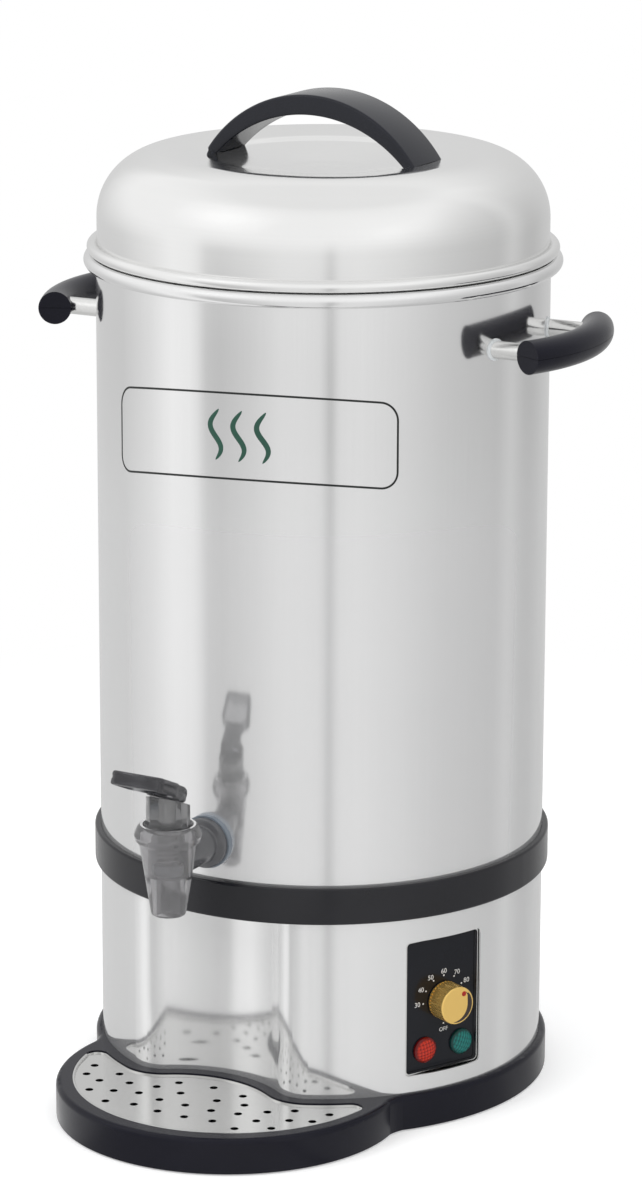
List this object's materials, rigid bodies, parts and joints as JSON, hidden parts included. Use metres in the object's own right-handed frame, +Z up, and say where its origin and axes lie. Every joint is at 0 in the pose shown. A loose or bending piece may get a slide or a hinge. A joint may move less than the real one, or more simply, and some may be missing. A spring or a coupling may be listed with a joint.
{
  "type": "mulled wine kettle",
  "caption": "Steel kettle for hot drinks with a lift-off lid, bow handles, a self-closing tap over a drip tray, and a heated lower shell with a temperature knob and lamps.",
  "frame": {"origin": "on the kettle's upright axis, at the surface that it stands on", "axes": "+Z up along the kettle's axis, tap and drip tray towards -Y, controls towards +X"},
  "size_m": [0.3688, 0.3859, 0.6235],
  "materials": {
    "steel_satin": "satin",
    "steel_bright": "polished",
    "black_plastic": "satin",
    "black_panel": "matt",
    "smoke_plastic": "gloss",
    "silicone": "satin",
    "rubber": "matt",
    "gold_plastic": "satin",
    "brown_inlay": "matt",
    "red_dot": "gloss",
    "red_lens": "gloss",
    "green_lens": "gloss",
    "aluminium": "satin",
    "dark_metal": "matt",
    "grey_metal": "satin",
    "pale_plastic": "matt"
  },
  "bodies": {
    "kettle": {"tank": "steel_satin", "lower_shell": "steel_satin", "niche_panel": "steel_satin", "joint_band": "black_plastic", "base": "black_plastic", "bottom_cover": "steel_satin", "feet": "rubber", "left_posts": "steel_bright", "left_grip_upper": "black_plastic", "left_grip_lower": "black_plastic", "left_washers": "silicone", "left_screws": "steel_bright", "left_grip_screws": "steel_bright", "right_posts": "steel_bright", "right_grip_upper": "black_plastic", "right_grip_lower": "black_plastic", "right_washers": "silicone", "right_screws": "steel_bright", "right_grip_screws": "steel_bright", "tap_body": "smoke_plastic", "tap_bonnet": "smoke_plastic", "tap_spring": "steel_bright", "tap_outer_seal": "silicone", "tap_inner_seal": "silicone", "tap_nut": "steel_bright", "panel_frame": "steel_bright", "control_panel": "black_panel", "thermostat": "grey_metal", "thermostat_nut": "steel_bright", "red_lamp": "red_lens", "green_lamp": "green_lens", "lamp_sockets": "pale_plastic", "heat_plate": "aluminium", "heating_ring": "dark_metal", "thermal_cutout": "dark_metal", "terminal_block": "pale_plastic", "tie_rods": "steel_bright", "tie_nuts": "steel_bright", "cable_gland": "black_plastic", "gland_nut": "black_plastic"},
    "lid": {"lid": "steel_bright", "lid_handle": "black_plastic", "lid_handle_screws": "steel_bright"},
    "grid": {"drip_grid": "steel_bright"},
    "stem": {"tap_stem": "steel_bright", "tap_seat_cup": "silicone", "tap_lever_pin": "steel_bright"},
    "lever": {"tap_lever": "smoke_plastic"},
    "knob": {"knob": "gold_plastic", "knob_crescent": "brown_inlay", "knob_dot": "red_dot", "thermostat_shaft": "steel_bright"}
  },
  "joints": [
    {"name": "lid_lift", "type": "slide", "parent": "kettle", "child": "lid", "axis": [0, 0, 1], "range_m": [0, 0.15]},
    {"name": "grid_lift", "type": "slide", "parent": "kettle", "child": "grid", "axis": [0, 0, 1], "range_m": [0, 0.08]},
    {"name": "stem_lift", "type": "slide", "parent": "kettle", "child": "stem", "axis": [0, 0, 1], "range_m": [0, 0.006], "deforming": ["tap_spring"]},
    {"name": "lever_tilt", "type": "hinge", "parent": "stem", "child": "lever", "pos_m": [0, -0.1865, 0.2266], "axis": [1, 0, 0], "range_deg": [0, 32], "stiffness_Nm_per_rad": 0.3, "springref_deg": -22.92},
    {"name": "knob_turn", "type": "hinge", "parent": "kettle", "child": "knob", "pos_m": [0.1203, -0.05816, 0.0772], "axis": [0.9003, -0.4352, 0], "range_deg": [-57, 213]}
  ],
  "couplings": [
    {"joint": "stem_lift", "follows": "lever_tilt", "m_per_rad": 0.0107}
  ]
}
